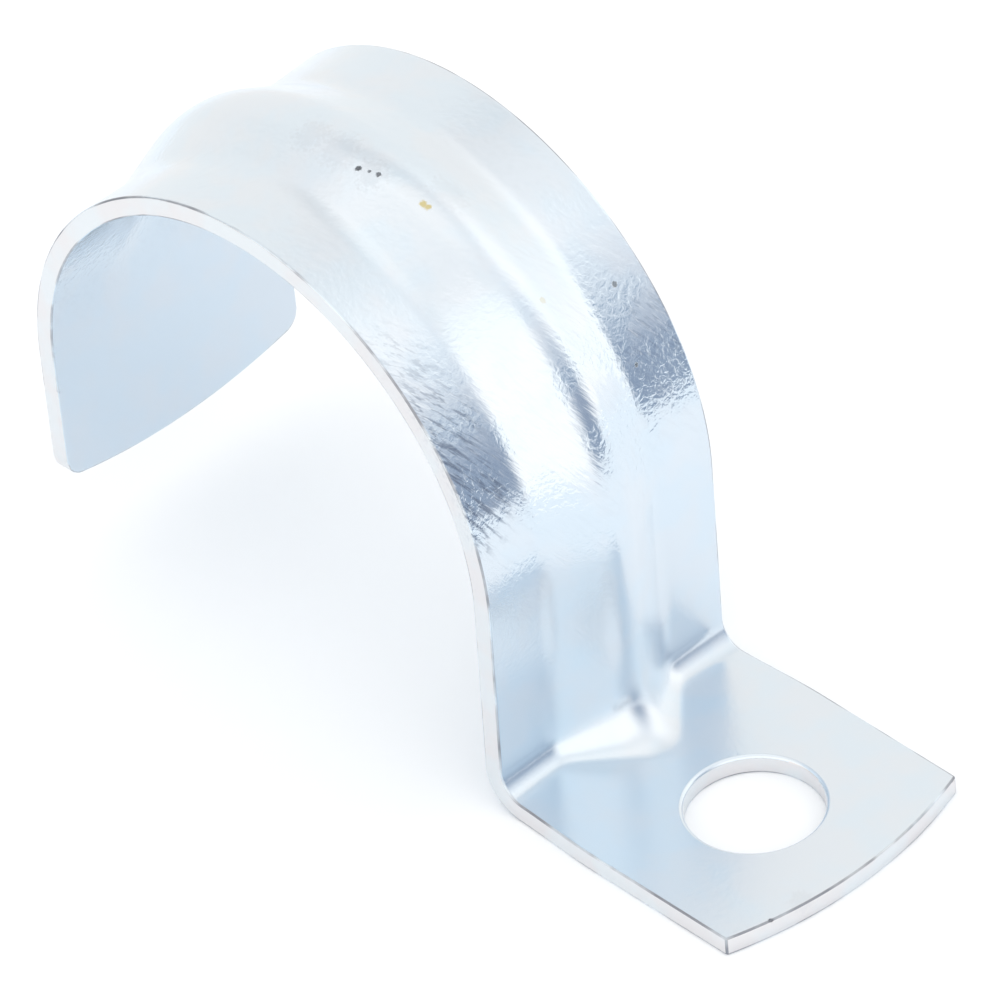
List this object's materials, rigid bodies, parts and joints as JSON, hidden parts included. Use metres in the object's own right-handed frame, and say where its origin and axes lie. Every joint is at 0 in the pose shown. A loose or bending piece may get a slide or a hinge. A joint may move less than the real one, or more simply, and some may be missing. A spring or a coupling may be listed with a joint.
{
  "type": "conduit strap",
  "caption": "Stamped steel strap with a ribbed half-round saddle over the conduit, a free leg and a flat tab with a screw hole.",
  "frame": {"origin": "centre of the screw hole, on the face of the tab that meets the wall", "axes": "+Z away from the wall, along the screw; +Y along the conduit; +X from the saddle towards the tab's end"},
  "size_m": [0.0635, 0.0208, 0.039],
  "materials": {
    "zinc_plate": "bright zinc plate"
  },
  "bodies": {
    "root": {"strap": "zinc_plate"}
  },
  "joints": []
}
